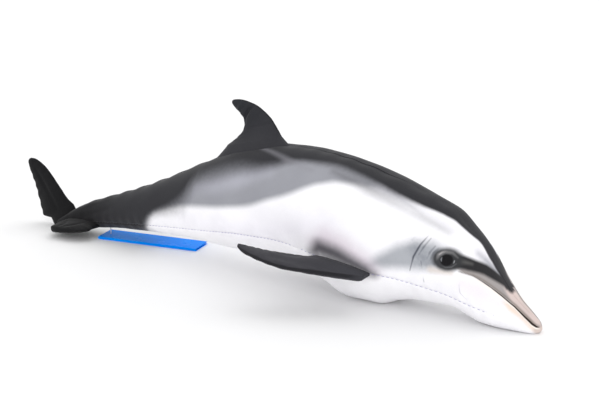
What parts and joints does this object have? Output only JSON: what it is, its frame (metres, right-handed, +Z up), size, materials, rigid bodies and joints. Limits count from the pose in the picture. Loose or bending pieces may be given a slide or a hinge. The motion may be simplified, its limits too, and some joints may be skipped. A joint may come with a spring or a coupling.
{
  "type": "stuffed dolphin cushion",
  "caption": "Stuffed printed-fabric dolphin lying on its belly, with padded fins, flippers and flukes that flex at their roots and a card tag at the tail.",
  "frame": {"origin": "middle of the flat on which the chest rests, on the surface that the cushion lies on", "axes": "+X towards the beak, +Y to the dolphin's left, +Z up"},
  "size_m": [0.6226, 0.1992, 0.1723],
  "materials": {
    "side_print": "printed brushed knit, dark back fading through grey to white",
    "belly_fabric": "white brushed knit",
    "fin_fabric": "near-black printed brushed knit",
    "filling": "loose polyester fibre",
    "dark_thread": "spun sewing thread",
    "seam_thread": "violet-blue sewing thread",
    "tag_card": "gloss laminated card",
    "nylon": "clear nylon"
  },
  "bodies": {
    "body": {"right_side_panel": "side_print", "left_side_panel": "side_print", "belly_panel": "belly_fabric", "body_filling": "filling", "back_seam_thread": "dark_thread", "right_belly_seam_thread": "seam_thread", "left_belly_seam_thread": "seam_thread", "tag_fastener": "nylon"},
    "dorsal_fin": {"dorsal_fin_right_cover": "fin_fabric", "dorsal_fin_left_cover": "fin_fabric", "dorsal_fin_filling": "filling"},
    "right_flipper": {"right_flipper_upper_panel": "fin_fabric", "right_flipper_lower_panel": "fin_fabric", "right_flipper_filling": "filling"},
    "left_flipper": {"left_flipper_upper_panel": "fin_fabric", "left_flipper_lower_panel": "fin_fabric", "left_flipper_filling": "filling"},
    "left_fluke": {"left_fluke_upper_panel": "fin_fabric", "left_fluke_lower_panel": "fin_fabric", "left_fluke_filling": "filling"},
    "right_fluke": {"right_fluke_upper_panel": "fin_fabric", "right_fluke_lower_panel": "fin_fabric", "right_fluke_filling": "filling"},
    "tag": {"tag_card": "tag_card"}
  },
  "joints": [
    {"name": "dorsal_fin_sway", "type": "hinge", "parent": "body", "child": "dorsal_fin", "pos_m": [-0.14028, 0, 0.13163], "axis": [0.9675, 0, 0.2528], "range_deg": [-30, 30]},
    {"name": "right_flipper_flap", "type": "hinge", "parent": "body", "child": "right_flipper", "pos_m": [-0.00622, -0.05645, 0.04306], "axis": [0.9862, 0.0833, -0.1434], "range_deg": [-55, 35]},
    {"name": "left_flipper_flap", "type": "hinge", "parent": "body", "child": "left_flipper", "pos_m": [-0.00622, 0.05645, 0.04306], "axis": [0.9862, -0.0833, -0.1434], "range_deg": [-35, 55]},
    {"name": "left_fluke_fold", "type": "hinge", "parent": "body", "child": "left_fluke", "pos_m": [-0.40167, 0, 0.01673], "axis": [0.8533, 0, 0.5214], "range_deg": [-65, 20]},
    {"name": "right_fluke_fold", "type": "hinge", "parent": "body", "child": "right_fluke", "pos_m": [-0.3659, -0.01595, 0.01068], "axis": [0.989, -0.123, 0.0824], "range_deg": [-70, 0]},
    {"name": "tag_swing", "type": "hinge", "parent": "body", "child": "tag", "pos_m": [-0.331, 0, 0.0014], "axis": [0, 0, 1], "range_deg": [-75, 50]}
  ]
}
